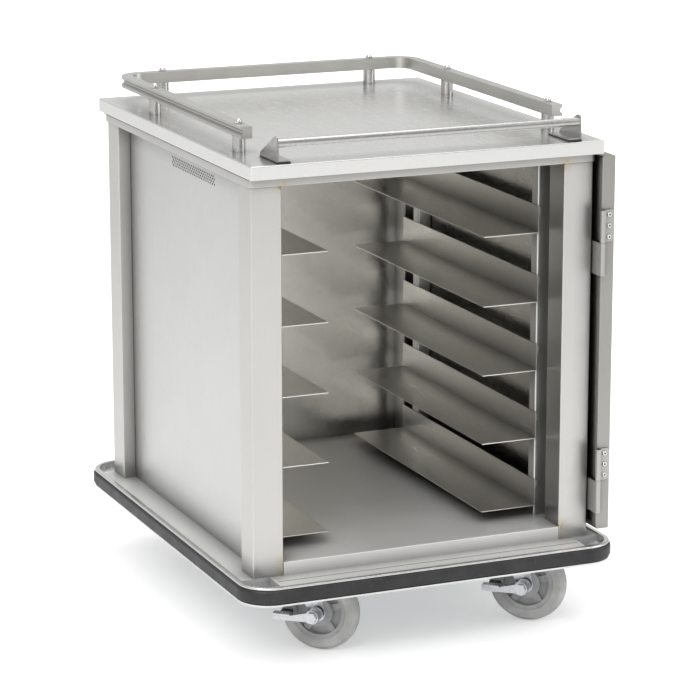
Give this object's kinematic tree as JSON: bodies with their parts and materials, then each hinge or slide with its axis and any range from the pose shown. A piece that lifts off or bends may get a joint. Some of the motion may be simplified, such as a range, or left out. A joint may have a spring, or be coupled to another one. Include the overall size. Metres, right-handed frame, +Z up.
{
  "type": "insulated food carrier",
  "caption": "Insulated stainless meal tray cart with a swung-open door, tray ledges, gallery rail, push handle, wraparound bumper and braked swivel casters.",
  "frame": {"origin": "on the floor under the middle of the bumper's outline", "axes": "+X to the right of a person facing the door opening, +Y towards the back, +Z up; the door opening faces -Y"},
  "size_m": [0.756, 0.928, 0.997],
  "materials": {
    "satin_steel": "satin brushed stainless sheet",
    "top_steel": "fine brushed stainless sheet, clearer reflection",
    "liner_steel": "2B mill finish stainless sheet",
    "rail_aluminium": "satin anodised extrusion",
    "channel_aluminium": "bright extruded aluminium",
    "bumper_vinyl": "semi-matt black vinyl",
    "seal_rubber": "black rubber",
    "door_seal": "grey silicone gasket",
    "foam": "rigid foam board",
    "polished_steel": "polished stainless",
    "zinc_steel": "bright zinc plate",
    "brake_steel": "zinc lever with a black tread pad and shoe",
    "wheel_core": "dark grey moulded polyolefin",
    "caster_tyre": "light grey non-marking rubber",
    "magnet": "ferrite bar"
  },
  "bodies": {
    "cabinet": {"top_panel": "top_steel", "top_frame": "satin_steel", "front_left_post": "satin_steel", "front_right_post": "satin_steel", "rear_left_post": "satin_steel", "rear_right_post": "satin_steel", "left_side_panel": "satin_steel", "right_side_panel": "satin_steel", "back_panel": "satin_steel", "left_liner": "liner_steel", "right_liner": "liner_steel", "back_liner": "liner_steel", "ceiling_liner": "liner_steel", "wall_insulation": "foam", "floor_pan": "liner_steel", "base_deck": "satin_steel", "chassis_plate": "zinc_steel", "bumper_channel": "channel_aluminium", "bumper_strip": "bumper_vinyl", "tray_uprights": "liner_steel", "left_ledges": "satin_steel", "right_ledges": "satin_steel", "gallery_rail": "rail_aluminium", "rail_standoffs": "polished_steel", "rail_cap_nuts": "polished_steel", "handle_bar": "polished_steel", "left_handle_bracket": "satin_steel", "right_handle_bracket": "satin_steel", "handle_gaskets": "seal_rubber", "hinge_frame_leaves": "satin_steel", "hinge_pins": "polished_steel", "hinge_frame_screws": "polished_steel", "caster_plates": "zinc_steel", "caster_bolts": "zinc_steel"},
    "door": {"door_outer_skin": "satin_steel", "door_inner_skin": "liner_steel", "door_insulation": "foam", "door_gasket": "door_seal", "door_pull": "polished_steel", "hinge_door_leaves": "satin_steel", "hinge_door_screws": "polished_steel", "door_magnets": "magnet"},
    "front_left_caster": {"front_left_fork": "zinc_steel", "front_left_axle": "zinc_steel"},
    "front_left_roller": {"front_left_wheel": "wheel_core", "front_left_tyre": "caster_tyre"},
    "front_left_brake_lever": {"front_left_brake": "brake_steel"},
    "front_right_caster": {"front_right_fork": "zinc_steel", "front_right_axle": "zinc_steel"},
    "front_right_roller": {"front_right_wheel": "wheel_core", "front_right_tyre": "caster_tyre"},
    "front_right_brake_lever": {"front_right_brake": "brake_steel"},
    "rear_left_caster": {"rear_left_fork": "zinc_steel", "rear_left_axle": "zinc_steel"},
    "rear_left_roller": {"rear_left_wheel": "wheel_core", "rear_left_tyre": "caster_tyre"},
    "rear_right_caster": {"rear_right_fork": "zinc_steel", "rear_right_axle": "zinc_steel"},
    "rear_right_roller": {"rear_right_wheel": "wheel_core", "rear_right_tyre": "caster_tyre"}
  },
  "joints": [
    {"name": "door_hinge", "type": "hinge", "parent": "cabinet", "child": "door", "pos_m": [0.34625, -0.421, 0.5], "axis": [0, 0, -1], "range_deg": [0, 270]},
    {"name": "front_left_swivel", "type": "hinge", "parent": "cabinet", "child": "front_left_caster", "pos_m": [-0.215, -0.311, 0.17], "axis": [0, 0, 1], "continuous": true},
    {"name": "front_left_roll", "type": "hinge", "parent": "front_left_caster", "child": "front_left_roller", "pos_m": [-0.18602, -0.3371, 0.0762], "axis": [-0.6691, -0.7431, 0], "continuous": true},
    {"name": "front_left_brake_pedal", "type": "hinge", "parent": "front_left_caster", "child": "front_left_brake_lever", "pos_m": [-0.18602, -0.3371, 0.0762], "axis": [-0.6691, -0.7431, 0], "range_deg": [0, 14]},
    {"name": "front_right_swivel", "type": "hinge", "parent": "cabinet", "child": "front_right_caster", "pos_m": [0.215, -0.311, 0.17], "axis": [0, 0, 1], "continuous": true},
    {"name": "front_right_roll", "type": "hinge", "parent": "front_right_caster", "child": "front_right_roller", "pos_m": [0.24398, -0.3371, 0.0762], "axis": [-0.6691, -0.7431, 0], "continuous": true},
    {"name": "front_right_brake_pedal", "type": "hinge", "parent": "front_right_caster", "child": "front_right_brake_lever", "pos_m": [0.24398, -0.3371, 0.0762], "axis": [-0.6691, -0.7431, 0], "range_deg": [0, 14]},
    {"name": "rear_left_swivel", "type": "hinge", "parent": "cabinet", "child": "rear_left_caster", "pos_m": [-0.215, 0.311, 0.17], "axis": [0, 0, 1], "continuous": true},
    {"name": "rear_left_roll", "type": "hinge", "parent": "rear_left_caster", "child": "rear_left_roller", "pos_m": [-0.18602, 0.2849, 0.0762], "axis": [-0.6691, -0.7431, 0], "continuous": true},
    {"name": "rear_right_swivel", "type": "hinge", "parent": "cabinet", "child": "rear_right_caster", "pos_m": [0.215, 0.311, 0.17], "axis": [0, 0, 1], "continuous": true},
    {"name": "rear_right_roll", "type": "hinge", "parent": "rear_right_caster", "child": "rear_right_roller", "pos_m": [0.24398, 0.2849, 0.0762], "axis": [-0.6691, -0.7431, 0], "continuous": true}
  ]
}
